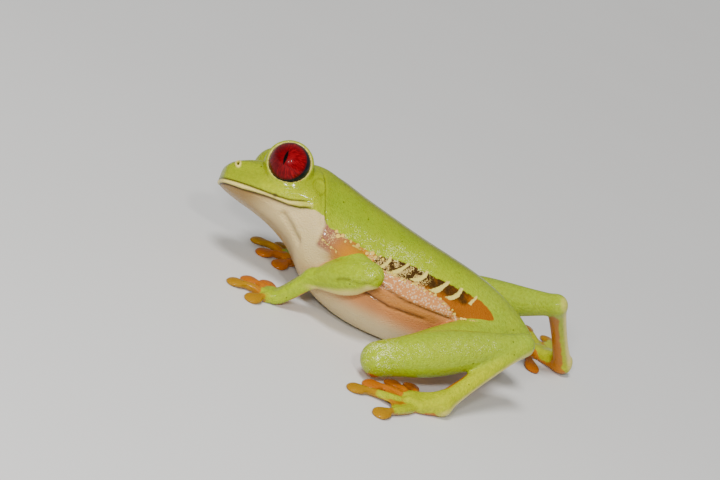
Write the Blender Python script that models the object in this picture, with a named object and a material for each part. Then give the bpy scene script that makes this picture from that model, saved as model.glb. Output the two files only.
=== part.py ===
"""A red-eyed tree frog (Agalychnis callidryas), life size, crouched on a level floor as a still model.

The frog faces -X with its left side towards -Y, and +Z is up. The origin is on the floor under the belly.
Lengths in this file are millimetres, which solid() turns into Blender's metres. The body is one loft from
snout to vent, parted by thin cuts at the neck and along the mouth. Each limb is a chain of tapered lofts,
parted on the planes that halve its joints. What touches the floor is cut to a flat at one level.
"""

import math
from typing import NamedTuple

import bmesh
import bpy
import numpy as np
from mathutils import Euler, Matrix, Quaternion, Vector

MM = 0.001
GAP = 0.3  # between neighbouring solids
LEFT, RIGHT = -1, 1
UP = Vector((0.0, 0.0, 1.0))

# How the body is held: its left side higher, and the head turned to the left and tilted further the same way.
BODY_ROLL = Matrix.Rotation(math.radians(-13.0), 3, "X")
BODY_AXIS = Vector((0.0, 0.0, 8.0))  # the roll is about the level line through here, from snout to vent
NECK = Vector((-9.9, 0.0, 14.9))  # what the head turns about
NECK_LENGTH = 6.0
HEAD_TURN = Euler((math.radians(-14.0), 0.0, math.radians(8.0))).to_quaternion()

BODY_SIDES, BODY_RINGS = 24, 32
LIMB_SIDES, LIMB_RINGS = 10, 9
DIGIT_SIDES = 8
PALM_RINGS = 4
CAP_TILTS = [math.radians(angle) for angle in (25, 52, 78)]  # of the rings that round off an end
EYE_SIDES = 18


class Section(NamedTuple):
    """One cross-section of the body, between its points on the back line and on the belly line."""

    top_x: float
    top_z: float
    belly_x: float
    belly_z: float
    half_width: float
    widest: float  # how far up the section it is widest, from 0 at the belly to 1 at the back
    crown: float  # width near the back, as a share of the whole width
    keel: float  # width near the belly, as a share of the whole width


BODY = [
    Section(-24.7, 11.7, -24.6, 10.2, 1.0, 0.45, 0.74, 0.70),  # tip of the snout
    Section(-24.6, 12.7, -24.2, 9.6, 2.5, 0.42, 0.70, 0.76),
    Section(-23.7, 13.8, -22.8, 9.1, 3.7, 0.40, 0.62, 0.78),  # nostrils
    Section(-21.8, 14.9, -20.6, 8.7, 5.0, 0.42, 0.56, 0.78),
    Section(-19.4, 15.8, -17.6, 8.3, 6.2, 0.46, 0.54, 0.74),  # front of the eyes
    Section(-16.6, 17.0, -14.6, 7.5, 7.1, 0.50, 0.54, 0.68),
    Section(-13.6, 18.1, -11.4, 5.9, 7.8, 0.54, 0.58, 0.62),  # back of the eyes
    Section(-11.0, 18.5, -8.9, 3.7, 8.0, 0.55, 0.62, 0.60),  # corners of the mouth
    Section(-8.0, 18.2, -6.5, 2.0, 7.9, 0.52, 0.62, 0.62),  # neck
    Section(-4.0, 17.4, -3.0, 0.6, 8.1, 0.49, 0.62, 0.66),  # shoulders
    Section(0.8, 16.6, 1.2, -0.2, 8.5, 0.47, 0.62, 0.70),
    Section(6.0, 15.8, 6.2, -0.2, 8.5, 0.47, 0.62, 0.70),  # middle of the belly
    Section(11.0, 15.2, 10.8, 0.3, 7.9, 0.50, 0.62, 0.66),
    Section(16.0, 14.5, 15.2, 2.2, 6.9, 0.53, 0.62, 0.64),
    Section(20.4, 13.4, 19.8, 4.8, 5.7, 0.54, 0.62, 0.64),  # hips
    Section(24.0, 11.9, 23.7, 6.8, 4.1, 0.53, 0.66, 0.68),
    Section(26.5, 10.4, 26.4, 8.3, 2.1, 0.50, 0.70, 0.70),
    Section(27.3, 9.7, 27.3, 9.1, 0.7, 0.50, 0.70, 0.70),  # over the vent
]

# Lines that the thin cuts follow, seen from the side of the straight frog.
NECK_TOP, NECK_BOTTOM = Vector((-8.3, 0.0, 18.4)), Vector((-7.3, 0.0, 1.8))
MOUTH_TIP, MOUTH_CORNER = Vector((-24.6, 0.0, 10.6)), Vector((-10.6, 0.0, 12.8))

EYE_RADIUS = 3.1
EYE_CENTRE = Vector((-16.95, 5.4, 16.05))
EYE_AXIS = Vector((-0.22, 1.0, 0.16)).normalized()  # outwards through the pupil
LID_RADIUS = 3.75  # of the dome of skin round the eyeball
LID_SET_BACK = 0.65  # of the dome's centre behind the eye's, along the axis
LID_EDGE = 0.6  # of the open eye's rim in front of the eye's centre

# The joints of the limbs, each for the left side and the right.
SHOULDER = {LEFT: Vector((-5.6, -5.2, 11.2)), RIGHT: Vector((-5.2, 6.2, 8.8))}
ELBOW = {LEFT: Vector((1.2, -11.2, 11.1)), RIGHT: Vector((2.6, 12.0, 8.6))}
WRIST = {LEFT: Vector((-6.0, -8.4, 6.0)), RIGHT: Vector((-5.6, 10.6, 5.0))}
PALM = {LEFT: Vector((-9.8, -8.2, 0.95)), RIGHT: Vector((-9.2, 10.4, 0.95))}
HIP = {LEFT: Vector((20.5, -4.2, 7.6)), RIGHT: Vector((20.4, 4.2, 6.4))}
KNEE = {LEFT: Vector((6.9, -19.6, 3.5)), RIGHT: Vector((9.0, 16.4, 2.7))}
HEEL = {LEFT: Vector((25.3, -9.0, 11.1)), RIGHT: Vector((29.6, 9.8, 12.9))}
ANKLE = {LEFT: Vector((17.6, -20.0, 1.8)), RIGHT: Vector((36.2, 19.2, 1.8))}
SOLE = {LEFT: Vector((14.5, -21.2, 0.95)), RIGHT: Vector((33.2, 22.0, 0.95))}

# Half widths along each length of limb, from its upper joint to its lower one.
UPPER_ARM = (1.9, 1.85, 1.75, 1.8)
FOREARM = (1.9, 2.6, 2.6, 2.0, 1.3)
THIGH = (3.0, 3.4, 3.2, 2.8, 2.4, 2.2)
SHANK = (2.3, 2.9, 3.3, 3.2, 2.7, 2.1, 1.65)
TARSUS = (1.55, 1.35, 1.25, 1.3, 1.5)
PALM_RADIUS, SOLE_RADIUS = 1.9, 2.2
PALM_HALF_HEIGHT = 0.95
FLATNESS = 0.6  # exponent that squares off a palm's cross-section; 1 leaves an ellipse

# The digits fan out from the rim of the palm or sole. Angles are in degrees from its middle line.
FINGER_ROOTS, TOE_ROOTS = (72, 26, -20, -66), (84, 46, 8, -30, -68)
FINGER_TIPS = {
    LEFT: [(-12.6, -2.7), (-15.6, -5.0), (-17.4, -9.0), (-13.6, -12.8)],
    RIGHT: [(-12.0, 4.8), (-15.4, 7.2), (-17.0, 12.0), (-12.8, 15.6)],
}
TOE_TIPS = {
    LEFT: [(12.8, -14.2), (9.2, -16.6), (5.8, -22.2), (3.8, -25.8), (8.6, -30.8)],
    RIGHT: [(32.6, 13.0), (26.6, 20.4), (25.8, 26.6), (29.8, 32.8), (33.8, 32.4)],
}
DIGIT_RADIUS = 0.65
DIGIT_ARCH = 0.3  # how far a digit's middle rises off a straight line
PAD_RADIUS = 1.3
PAD_HALF_HEIGHT = 0.55
PAD_SINK = 0.12  # cut off the underside of each pad, to leave its flat
PAD_LENGTH = 2.2 * PAD_RADIUS  # from where a digit starts to widen to its tip
KNUCKLE = 0.35  # how far along a digit its bend is
PALM_HEEL = 0.75  # how far from the wrist or ankle to the middle of the palm or sole the limb comes down

GREEN, ORANGE, CREAM, RED = (0.30, 0.50, 0.04), (0.80, 0.33, 0.06), (0.80, 0.68, 0.52), (0.45, 0.01, 0.02)


def clear_scene():
    for thing in list(bpy.data.objects):
        bpy.data.objects.remove(thing)


def smooth_row(rows, at):
    """The row at a fractional place, on a smooth curve through all the rows."""
    last = len(rows) - 1
    i = min(int(at), last - 1)
    t = at - i
    before, start, end, after = (rows[min(max(k, 0), last)] for k in (i - 1, i, i + 1, i + 2))
    slope_in, slope_out = (end - before) / 2, (after - start) / 2
    bend = 3 * (end - start) - 2 * slope_in - slope_out
    return start + t * (slope_in + t * (bend + t * (2 * (start - end) + slope_in + slope_out)))


def resampled(rows, count):
    rows = np.array(rows, float)
    return [smooth_row(rows, at) for at in np.linspace(0, len(rows) - 1, count)]


def rolled(point):
    """A place in the upright frog, moved to where the rolled body has it."""
    return BODY_AXIS + BODY_ROLL @ (point - BODY_AXIS)


def posed(point):
    """A place in the straight, upright frog, moved to where the turned head and the rolled body have it."""
    share = min(max((NECK.x + NECK_LENGTH / 2 - point.x) / NECK_LENGTH, 0.0), 1.0)
    turn = Quaternion().slerp(HEAD_TURN, share * share * (3 - 2 * share))
    return rolled(NECK + turn @ (point - NECK))


def solid(name, rings, colour, roughness=0.45):
    """A named object lofted through rings of points and closed at both ends."""
    built = bmesh.new()
    loops = [[built.verts.new(point * MM) for point in ring] for ring in rings]
    sides = len(loops[0])
    for loop, following in zip(loops, loops[1:]):
        for k in range(sides):
            after = (k + 1) % sides
            built.faces.new((loop[k], loop[after], following[after], following[k]))
    built.faces.new(reversed(loops[0]))
    built.faces.new(loops[-1])
    return finished(name, built, colour, roughness)


def ball(name, centre, radius, colour, axis=UP, roughness=0.45):
    """A sphere with its poles on an axis."""
    built = bmesh.new()
    bmesh.ops.create_uvsphere(built, u_segments=EYE_SIDES, v_segments=EYE_SIDES // 2 + 1, radius=radius * MM)
    made = finished(name, built, colour, roughness)
    made.location = centre * MM
    made.rotation_mode = "QUATERNION"
    made.rotation_quaternion = axis.to_track_quat("Z", "Y")
    return made


def finished(name, built, colour, roughness):
    """A smooth-shaded object made from a bmesh, with a material of its own."""
    bmesh.ops.recalc_face_normals(built, faces=built.faces)
    mesh = bpy.data.meshes.new(name)
    built.to_mesh(mesh)
    built.free()
    mesh.shade_smooth()
    material = bpy.data.materials.new(name)
    material.use_nodes = True
    shader = material.node_tree.nodes["Principled BSDF"]
    shader.inputs["Base Color"].default_value = (*colour, 1.0)
    shader.inputs["Roughness"].default_value = roughness
    shader.inputs["Metallic"].default_value = 0.0
    mesh.materials.append(material)
    made = bpy.data.objects.new(name, mesh)
    bpy.context.scene.collection.objects.link(made)
    return made


def cut_off(made, point, outward):
    """Removes what lies past a plane and closes the cut."""
    cut = bmesh.new()
    cut.from_mesh(made.data)
    everything = cut.verts[:] + cut.edges[:] + cut.faces[:]
    met = bmesh.ops.bisect_plane(
        cut, geom=everything, plane_co=point * MM, plane_no=outward, clear_outer=True, dist=1e-7
    )
    rim = [part for part in met["geom_cut"] if isinstance(part, bmesh.types.BMEdge)]
    bmesh.ops.edgeloop_fill(cut, edges=rim)
    bmesh.ops.recalc_face_normals(cut, faces=cut.faces)
    cut.to_mesh(made.data)
    cut.free()


def on_the_floor(made):
    cut_off(made, Vector((0.0, 0.0, 0.0)), -UP)
    return made


def part_at(joint, before, after, upper, lower):
    """Parts the solids of two neighbouring bones on the plane that halves the joint between them."""
    across = ((before - joint).normalized() - (after - joint).normalized()).normalized()
    cut_off(upper, joint + across * GAP / 2, -across)
    cut_off(lower, joint - across * GAP / 2, across)


def combine(made, operation, other):
    """A live union or difference with another object, which is then only a guide."""
    other.hide_render = True
    other.display_type = "WIRE"
    modifier = made.modifiers.new(f"{operation.lower()}_{other.name}", "BOOLEAN")
    modifier.operation = operation
    modifier.solver = "EXACT"
    modifier.object = other


def swell(made, by):
    """Moves a mesh's surface outwards, to make the room that a neighbour keeps clear of."""
    swollen = bmesh.new()
    swollen.from_mesh(made.data)
    swollen.normal_update()
    for vertex in swollen.verts:
        vertex.co += vertex.normal * by * MM
    swollen.to_mesh(made.data)
    swollen.free()


def body_ring(section):
    """The outline of one cross-section: a smooth closed curve round its back, flanks and belly."""
    half, widest = section.half_width, section.widest
    right = [
        (0.0, 1.0),
        (0.55 * section.crown * half, 0.985),
        (section.crown * half, 0.90),
        (0.5 * (1 + section.crown) * half, 0.5 * (0.90 + widest) + 0.06),
        (half, widest),
        (0.5 * (1 + section.keel) * half, 0.5 * (0.12 + widest) - 0.06),
        (section.keel * half, 0.12),
        (0.55 * section.keel * half, 0.02),
        (0.0, 0.0),
    ]
    left = [(-across, height) for across, height in right[-2:0:-1]]
    outline = np.array(right + left)
    corners = len(outline)
    wrapped = np.concatenate([outline[-1:], outline, outline[:2]])
    top = Vector((section.top_x, 0.0, section.top_z))
    belly = Vector((section.belly_x, 0.0, section.belly_z))
    ring = []
    for turn in np.linspace(0, corners, BODY_SIDES, endpoint=False):
        across, height = smooth_row(wrapped, turn + 1)
        ring.append(posed(belly.lerp(top, height) + Vector((0.0, across, 0.0))))
    return ring


def body_loft(name, colour):
    sections = [Section(*row) for row in resampled(BODY, BODY_RINGS)]
    return solid(name, [body_ring(section) for section in sections], colour)


def cut_plane(start, end):
    """A point and the forward or upward normal of the plane through a line seen from the side."""
    along = posed(end) - posed(start)
    across = posed(start + Vector((0.0, 1.0, 0.0))) - posed(start)
    return posed(start), along.cross(across).normalized()


def limb_rings(path, sides, squareness=1.0, flat_start=False):
    """Rings round a path whose rows are x, y, z, half width and half height, with round ends."""
    places = [Vector(row[:3]) for row in path]
    starts, ends = [places[0], *places[:-1]], [*places[1:], places[-1]]
    ways = [(end - start).normalized() for start, end in zip(starts, ends)]
    rings = [
        ellipse(place, way, *row[3:], sides, squareness) for place, way, row in zip(places, ways, path)
    ]
    rings += cap(places[-1], ways[-1], 1, *path[-1][3:], sides, squareness)
    if not flat_start:
        rings = cap(places[0], ways[0], -1, *path[0][3:], sides, squareness)[::-1] + rings
    return rings


def cap(place, way, outward, half_width, half_height, sides, squareness):
    """The rings of a round end, from the path outwards: 1 is past its end, and -1 before its start."""
    rings = []
    for tilt in CAP_TILTS:
        centre = place + way * outward * half_width * math.sin(tilt)
        low = half_height * math.cos(tilt) ** squareness
        rings.append(ellipse(centre, way, half_width * math.cos(tilt), low, sides, squareness))
    return rings


def ellipse(centre, way, half_width, half_height, sides, squareness):
    """A ring round a centre, square to a way, level across."""
    level = way.cross(UP).normalized()
    upright = level.cross(way)
    ring = []
    for k in range(sides):
        turn = 2 * math.pi * (k + 0.5) / sides
        across, up = math.cos(turn), math.sin(turn)
        ring.append(
            centre
            + level * half_width * math.copysign(abs(across) ** squareness, across)
            + upright * half_height * math.copysign(abs(up) ** squareness, up)
        )
    return ring


def taper(start, end, radii):
    """A straight path between two joints, with the half widths given along it."""
    path = []
    for number, (radius,) in enumerate(resampled([[radius] for radius in radii], LIMB_RINGS)):
        path.append((*start.lerp(end, number / (LIMB_RINGS - 1)), radius, radius))
    return path


def named(part, side):
    return f"{part}_{'left' if side == LEFT else 'right'}"


def limb_part(part, side, path):
    return solid(named(part, side), limb_rings(path, LIMB_SIDES), GREEN)


def flat_part(part, side, joint, middle, joint_radius, radius, colour):
    """A palm or sole: round at its joint, then wide and low, and on the floor."""
    heel = joint.lerp(middle, PALM_HEEL)
    heel.z = middle.z
    path = []
    for share in np.linspace(0, 1, PALM_RINGS):
        half_width = joint_radius + (radius - joint_radius) * share
        half_height = joint_radius + (PALM_HALF_HEIGHT - joint_radius) * share
        path.append((*bezier(joint, heel, middle, share), half_width, half_height))
    made = solid(named(part, side), limb_rings(path, LIMB_SIDES, FLATNESS), colour)
    return on_the_floor(made)


def digits(part, side, middle, radius, root_angles, tips):
    """The fingers or toes of one foot, from the inner one outwards. Each ends in a round pad."""
    centre = middle.xy.to_3d()
    forward = (sum((Vector((*tip, 0.0)) for tip in tips), Vector()) / len(tips) - centre).normalized()
    for number, (angle, tip) in enumerate(zip(root_angles, tips), 1):
        outward = Matrix.Rotation(side * math.radians(angle), 3, "Z") @ forward
        root = centre + outward * (radius + GAP)
        end = Vector((*tip, 0.0))
        path = digit_path(root, outward, end)
        colour = GREEN if number == len(tips) else ORANGE
        made = solid(named(f"{part}_{number}", side), limb_rings(path, DIGIT_SIDES, flat_start=True), colour)
        on_the_floor(made)


def digit_path(root, outward, end):
    """A digit's path: out from the palm, bending towards its tip, with a wide low pad at the end."""
    length = (end - root).length
    knuckle = root + outward * KNUCKLE * length
    pad_middle = 1 - PAD_RADIUS / length
    pad_start = 1 - PAD_LENGTH / length
    profile = [  # share of the length, half width and half height
        (0.0, DIGIT_RADIUS, DIGIT_RADIUS),
        (pad_start / 3, DIGIT_RADIUS, DIGIT_RADIUS),
        (2 * pad_start / 3, 0.9 * DIGIT_RADIUS, 0.95 * DIGIT_RADIUS),
        (pad_start, 0.85 * DIGIT_RADIUS, 0.9 * DIGIT_RADIUS),
        (0.5 * (pad_start + pad_middle), 0.85 * PAD_RADIUS, PAD_HALF_HEIGHT),
        (pad_middle, PAD_RADIUS, PAD_HALF_HEIGHT),
    ]
    path = []
    for number, (share, half_width, half_height) in enumerate(profile):
        place = bezier(root, knuckle, end, share)
        arch = DIGIT_ARCH * math.sin(math.pi * number / (len(profile) - 1))
        path.append((place.x, place.y, half_height - PAD_SINK + arch, half_width, half_height))
    return path


def bezier(start, control, end, share):
    return start.lerp(control, share).lerp(control.lerp(end, share), share)


def head_and_jaw():
    """The head with its open eye sockets, and the lower jaw under the line of the mouth."""
    neck, forward = cut_plane(NECK_BOTTOM, NECK_TOP)
    mouth, upward = cut_plane(MOUTH_TIP, MOUTH_CORNER)
    jaw = body_loft("lower_jaw", CREAM)
    cut_off(jaw, neck + forward * GAP / 2, -forward)
    cut_off(jaw, mouth - upward * GAP / 2, upward)
    head = body_loft("head", GREEN)
    cut_off(head, neck + forward * GAP / 2, -forward)
    cut_off(head, mouth + upward * GAP / 2, -upward)
    for side in (LEFT, RIGHT):
        mirror = Matrix.Diagonal((1.0, side, 1.0))
        centre = posed(mirror @ EYE_CENTRE)
        axis = posed(mirror @ (EYE_CENTRE + EYE_AXIS)) - centre
        lid = ball(named("lid", side), centre - axis * LID_SET_BACK, LID_RADIUS, GREEN, axis)
        cut_off(lid, UP * (LID_SET_BACK + LID_EDGE), UP)
        socket = ball(named("socket", side), centre, EYE_RADIUS + GAP, CREAM, axis)
        combine(head, "UNION", lid)
        combine(head, "DIFFERENCE", socket)
        ball(named("eye", side), centre, EYE_RADIUS, RED, axis, roughness=0.05)


def trunk():
    neck, forward = cut_plane(NECK_BOTTOM, NECK_TOP)
    made = body_loft("trunk", GREEN)
    cut_off(made, neck - forward * GAP / 2, forward)
    on_the_floor(made)


def arm(side, body_room):
    shoulder, elbow, wrist, palm = (joint[side] for joint in (SHOULDER, ELBOW, WRIST, PALM))
    upper = limb_part("upper_arm", side, taper(shoulder, elbow, UPPER_ARM))
    lower = limb_part("forearm", side, taper(elbow, wrist, FOREARM))
    hand = flat_part("hand", side, wrist, palm, FOREARM[-1], PALM_RADIUS, ORANGE)
    part_at(elbow, shoulder, wrist, upper, lower)
    part_at(wrist, elbow, palm, lower, hand)
    combine(upper, "DIFFERENCE", body_room)
    combine(lower, "DIFFERENCE", body_room)
    digits("finger", side, palm, PALM_RADIUS, FINGER_ROOTS, FINGER_TIPS[side])


def leg(side, body_room):
    hip, knee, heel, ankle, sole = (joint[side] for joint in (HIP, KNEE, HEEL, ANKLE, SOLE))
    thigh = limb_part("thigh", side, taper(hip, knee, THIGH))
    shank = limb_part("shank", side, taper(knee, heel, SHANK))
    tarsus = limb_part("tarsus", side, taper(heel, ankle, TARSUS))
    foot = flat_part("foot", side, ankle, sole, TARSUS[-1], SOLE_RADIUS, ORANGE)
    part_at(knee, hip, heel, thigh, shank)
    part_at(heel, knee, ankle, shank, tarsus)
    part_at(ankle, heel, sole, tarsus, foot)
    combine(thigh, "DIFFERENCE", body_room)
    digits("toe", side, sole, SOLE_RADIUS, TOE_ROOTS, TOE_TIPS[side])


def main():
    clear_scene()
    head_and_jaw()
    trunk()
    body_room = body_loft("body_room", GREEN)
    swell(body_room, GAP)
    for side in (LEFT, RIGHT):
        arm(side, body_room)
        leg(side, body_room)


main()
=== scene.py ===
"""The looks of the red-eyed tree frog: one skin over the whole body, two eyes, a floor, lights, a camera.

The skin is one mesh. It repeats the named shapes of the CAD part at a finer step, in millimetres, turns each
into a field of signed distances, blends the fields and takes the surface at zero. Formulas in the straight
frog's own coordinates press the folds, lips, nostrils and eardrums into it and place its colours: values on
the vertices say where each colour lies, and the materials draw it.
"""

import itertools
import math
from typing import NamedTuple

import bmesh
import bpy
import numpy as np
import openvdb
from mathutils import Euler, Matrix, Vector


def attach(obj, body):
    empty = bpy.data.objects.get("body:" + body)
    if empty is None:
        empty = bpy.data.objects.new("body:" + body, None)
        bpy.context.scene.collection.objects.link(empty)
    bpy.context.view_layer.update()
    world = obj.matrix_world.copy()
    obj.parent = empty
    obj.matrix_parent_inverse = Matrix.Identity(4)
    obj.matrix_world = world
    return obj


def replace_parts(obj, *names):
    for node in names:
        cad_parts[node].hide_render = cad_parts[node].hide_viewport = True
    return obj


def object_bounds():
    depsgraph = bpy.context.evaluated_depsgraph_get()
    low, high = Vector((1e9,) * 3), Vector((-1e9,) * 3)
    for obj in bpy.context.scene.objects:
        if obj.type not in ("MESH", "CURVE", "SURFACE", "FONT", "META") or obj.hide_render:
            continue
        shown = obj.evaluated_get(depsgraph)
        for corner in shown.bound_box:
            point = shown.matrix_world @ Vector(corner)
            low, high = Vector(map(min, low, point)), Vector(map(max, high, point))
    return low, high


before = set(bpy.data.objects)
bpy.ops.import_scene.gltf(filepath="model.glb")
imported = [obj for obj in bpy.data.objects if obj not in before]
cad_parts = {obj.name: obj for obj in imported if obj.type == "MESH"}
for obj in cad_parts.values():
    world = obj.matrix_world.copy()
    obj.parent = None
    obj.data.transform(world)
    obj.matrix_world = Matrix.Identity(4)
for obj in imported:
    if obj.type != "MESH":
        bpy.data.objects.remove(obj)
cad_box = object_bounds()

MM = 0.001
LEFT, RIGHT = -1, 1
SIDES = (LEFT, RIGHT)
UP = np.array((0.0, 0.0, 1.0))

# How the body is held, as in the CAD part.
BODY_ROLL = np.array(Matrix.Rotation(math.radians(-13.0), 3, "X"))
BODY_AXIS = np.array((0.0, 0.0, 8.0))
NECK = np.array((-9.9, 0.0, 14.9))
NECK_LENGTH = 6.0
HEAD_TURN = Euler((math.radians(-14.0), 0.0, math.radians(8.0))).to_quaternion()


class Section(NamedTuple):
    """One cross-section of the body, between its points on the back line and on the belly line."""

    top_x: float
    top_z: float
    belly_x: float
    belly_z: float
    half_width: float
    widest: float
    crown: float
    keel: float


# Rows of Section, from the snout to the vent.
BODY = [
    (-24.7, 11.7, -24.6, 10.2, 1.0, 0.45, 0.74, 0.70),
    (-24.6, 12.7, -24.2, 9.6, 2.5, 0.42, 0.70, 0.76),
    (-23.7, 13.8, -22.8, 9.1, 3.7, 0.40, 0.62, 0.78),
    (-21.8, 14.9, -20.6, 8.7, 5.0, 0.42, 0.56, 0.78),
    (-19.4, 15.8, -17.6, 8.3, 6.2, 0.46, 0.54, 0.74),
    (-16.6, 17.0, -14.6, 7.5, 7.1, 0.50, 0.54, 0.68),
    (-13.6, 18.1, -11.4, 5.9, 7.8, 0.54, 0.58, 0.62),
    (-11.0, 18.5, -8.9, 3.7, 8.0, 0.55, 0.62, 0.60),
    (-8.0, 18.2, -6.5, 2.0, 7.9, 0.52, 0.62, 0.62),
    (-4.0, 17.4, -3.0, 0.6, 8.1, 0.49, 0.62, 0.66),
    (0.8, 16.6, 1.2, -0.2, 8.5, 0.47, 0.62, 0.70),
    (6.0, 15.8, 6.2, -0.2, 8.5, 0.47, 0.62, 0.70),
    (11.0, 15.2, 10.8, 0.3, 7.9, 0.50, 0.62, 0.66),
    (16.0, 14.5, 15.2, 2.2, 6.9, 0.53, 0.62, 0.64),
    (20.4, 13.4, 19.8, 4.8, 5.7, 0.54, 0.62, 0.64),
    (24.0, 11.9, 23.7, 6.8, 4.1, 0.53, 0.66, 0.68),
    (26.5, 10.4, 26.4, 8.3, 2.1, 0.50, 0.70, 0.70),
    (27.3, 9.7, 27.3, 9.1, 0.7, 0.50, 0.70, 0.70),
]

EYE_RADIUS = 3.1
EYE_CENTRE = np.array((-16.95, 5.4, 16.05))
EYE_AXIS = np.array((-0.22, 1.0, 0.16))
LID_RADIUS = 3.6  # of the dome of skin, a little thinner than its solid
LID_SET_BACK = 0.5
LID_EDGE = 0.6
GAZE = np.array((-0.40, 0.90, 0.04))  # where the eye looks, on the straight frog with y outwards
SLIT = np.array((-0.05, -0.09, 0.99))  # the way up along the pupil

SHOULDER = {LEFT: (-5.6, -5.2, 11.2), RIGHT: (-5.2, 6.2, 8.8)}
ELBOW = {LEFT: (1.2, -11.2, 11.1), RIGHT: (2.6, 12.0, 8.6)}
WRIST = {LEFT: (-6.0, -8.4, 6.0), RIGHT: (-5.6, 10.6, 5.0)}
PALM = {LEFT: (-9.8, -8.2, 0.95), RIGHT: (-9.2, 10.4, 0.95)}
HIP = {LEFT: (20.5, -4.2, 7.6), RIGHT: (20.4, 4.2, 6.4)}
KNEE = {LEFT: (6.9, -19.6, 3.5), RIGHT: (9.0, 16.4, 2.7)}
HEEL = {LEFT: (25.3, -9.0, 11.1), RIGHT: (29.6, 9.8, 12.9)}
ANKLE = {LEFT: (17.6, -20.0, 1.8), RIGHT: (36.2, 19.2, 1.8)}
SOLE = {LEFT: (14.5, -21.2, 0.95), RIGHT: (33.2, 22.0, 0.95)}

UPPER_ARM = (1.9, 1.85, 1.75, 1.8)
FOREARM = (1.9, 2.6, 2.6, 2.0, 1.3)
THIGH = (3.0, 3.4, 3.2, 2.8, 2.4, 2.2)
SHANK = (2.3, 2.9, 3.3, 3.2, 2.7, 2.1, 1.65)
TARSUS = (1.55, 1.35, 1.25, 1.3, 1.5)
PALM_RADIUS, SOLE_RADIUS = 1.9, 2.2
PALM_HALF_HEIGHT = 0.95
PALM_HEEL = 0.75  # how far along a palm it has come down to the floor's level
FLATNESS = 0.6  # of the palms' rings: 1 is an ellipse, less is squarer

FINGER_ROOTS, TOE_ROOTS = (72, 26, -20, -66), (84, 46, 8, -30, -68)
FINGER_TIPS = {
    LEFT: [(-12.6, -2.7), (-15.6, -5.0), (-17.4, -9.0), (-13.6, -12.8)],
    RIGHT: [(-12.0, 4.8), (-15.4, 7.2), (-17.0, 12.0), (-12.8, 15.6)],
}
TOE_TIPS = {
    LEFT: [(12.8, -14.2), (9.2, -16.6), (5.8, -22.2), (3.8, -25.8), (8.6, -30.8)],
    RIGHT: [(32.6, 13.0), (26.6, 20.4), (25.8, 26.6), (29.8, 32.8), (33.8, 32.4)],
}
# How far along each digit its upper side stays green, where below 0 is nowhere.
FINGER_GREENS, TOE_GREENS = (-1.0, -1.0, 0.1, 0.45), (-1.0, -1.0, -0.1, 0.5, 0.6)
DIGIT_RADIUS = 0.65
DIGIT_ARCH = 0.3
KNUCKLE = 0.35  # how far along a digit it bends
PAD_RADIUS = 1.3
PAD_LENGTH = 2.2 * PAD_RADIUS
PAD_HALF_HEIGHT = 0.55
PAD_SINK = 0.12
WEB_HALF_THICKNESS = 0.27
WEB_BAY = 0.4  # how far a web's edge is cut back between its digits
WEB_RINGS = 9
FINGER_WEB, TOE_WEB = 0.4, 0.55  # of a digit's length

# The grid of the fields of signed distances, in millimetres, and the steps of the lofts.
VOXEL = 0.25
HEAD_END = -8.5  # in front of it, on the straight frog, the skin is finer
BAND = 2.25  # how far from a surface its field is measured
MARGIN = 2.5  # of the grid round the CAD part
GRID_LOW = [math.floor((corner / MM - MARGIN) / VOXEL) for corner in cad_box[0]]
GRID_HIGH = [math.ceil((corner / MM + MARGIN) / VOXEL) for corner in cad_box[1]]
GRID_SHAPE = [high - low + 1 for low, high in zip(GRID_LOW, GRID_HIGH)]
BODY_SIDES, BODY_RINGS = 72, 110
LIMB_SIDES, LIMB_RINGS, DIGIT_SIDES, DIGIT_RINGS = 24, 25, 20, 25
CAP_TILTS = np.radians((15, 30, 45, 60, 72, 83))  # of the rings that round off a limb's ends
PATH_STEPS = 25

# Fillets between the shapes, in millimetres. By a joint they have a size away from it, one at it and a reach.
LID_FILLET, LID_EDGE_FILLET, SOCKET_FILLET, FLOOR_FILLET = 0.9, 0.35, 0.12, 0.15
ELBOW_FILLET, HEEL_FILLET, WRIST_FILLET, DIGIT_FILLET, WEB_FILLET = 0.45, 0.7, 0.8, 0.6, 0.3
SHOULDER_FILLET, HIP_FILLET, KNEE_FILLET = (0.35, 1.6, 6.0), (0.3, 1.5, 7.0), (0.25, 1.2, 5.0)
SOCKET_GRIP = 0.04  # how far the skin reaches into the eyeball, so that no gap shows
FAR = 9.0  # millimetres past any edge between colours
BODY_FADE = (0.2, 0.8)  # millimetres off the body's plain shape, where the limbs begin


# ---- places on the posed and the straight frog


def smoothstep(value, low=0.0, high=1.0):
    share = np.clip((value - low) / (high - low), 0.0, 1.0)
    return share * share * (3 - 2 * share)


def fading(value, low, high):
    return 1 - smoothstep(value, low, high)


def bump(value, width):
    """A smooth hump that is 1 at 0 and fades over a width."""
    return np.exp(-((value / width) ** 2))


def head_share(x):
    return smoothstep(NECK[0] + NECK_LENGTH / 2 - x, 0.0, NECK_LENGTH)


def head_turned(points, share):
    """Points turned about the neck by a share of the head's turn each."""
    axis, angle = np.array(HEAD_TURN.to_axis_angle()[0]), HEAD_TURN.to_axis_angle()[1] * share
    offset = points - NECK
    cosine, sine = np.cos(angle)[:, None], np.sin(angle)[:, None]
    along = (offset @ axis)[:, None] * axis
    return NECK + offset * cosine + np.cross(axis, offset) * sine + along * (1 - cosine)


def posed(points):
    """Places in the straight, upright frog, moved to where the turned head and the rolled body have them."""
    points = np.atleast_2d(np.asarray(points, float))
    return BODY_AXIS + (head_turned(points, head_share(points[:, 0])) - BODY_AXIS) @ BODY_ROLL.T


def straightened(points):
    """The opposite of posed(), found step by step."""
    level = BODY_AXIS + (points - BODY_AXIS) @ BODY_ROLL
    straight = level.copy()
    for _ in range(16):
        straight = head_turned(level, -head_share(straight[:, 0]))
    return straight


# ---- lofts


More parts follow.
